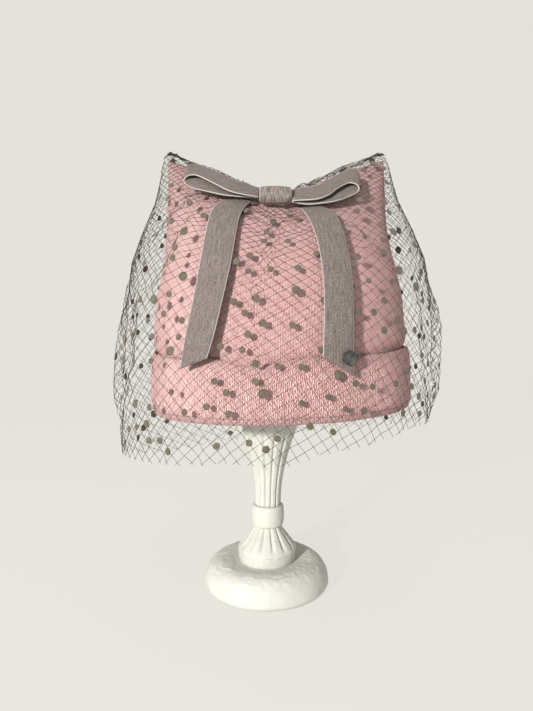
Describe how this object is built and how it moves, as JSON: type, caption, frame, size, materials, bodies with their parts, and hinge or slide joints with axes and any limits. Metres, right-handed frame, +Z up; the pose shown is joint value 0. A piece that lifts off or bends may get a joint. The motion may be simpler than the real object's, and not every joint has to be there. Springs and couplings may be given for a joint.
{
  "type": "knit hat with veil on a stand",
  "caption": "Knit hat with corner ears, turned-up ribbed cuff, dotted net veil, velvet bow and metal charm, on a turned white stand.",
  "frame": {"origin": "centre of the stand's flat underside", "axes": "+Z up, the front with the bow faces -Y, +X to the right seen from the front"},
  "size_m": [0.2507, 0.1972, 0.3505],
  "materials": {
    "stand_white": "chalky white paint over a cast body",
    "pink_knit": "soft wool knit, matt",
    "dotted_net": "fine dark net, matt",
    "taupe_velvet": "short velvet pile with pale edges",
    "gunmetal": "dark satin metal"
  },
  "bodies": {
    "root": {"stand_base": "stand_white", "stand_foot": "stand_white", "stand_band": "stand_white", "stand_stem": "stand_white", "hat_rest": "stand_white", "crown": "pink_knit", "cuff": "pink_knit", "veil": "dotted_net", "bow_knot": "taupe_velvet", "bow_loop_left": "taupe_velvet", "bow_loop_right": "taupe_velvet", "bow_tail_left": "taupe_velvet", "bow_tail_right": "taupe_velvet", "charm": "gunmetal"}
  },
  "joints": []
}
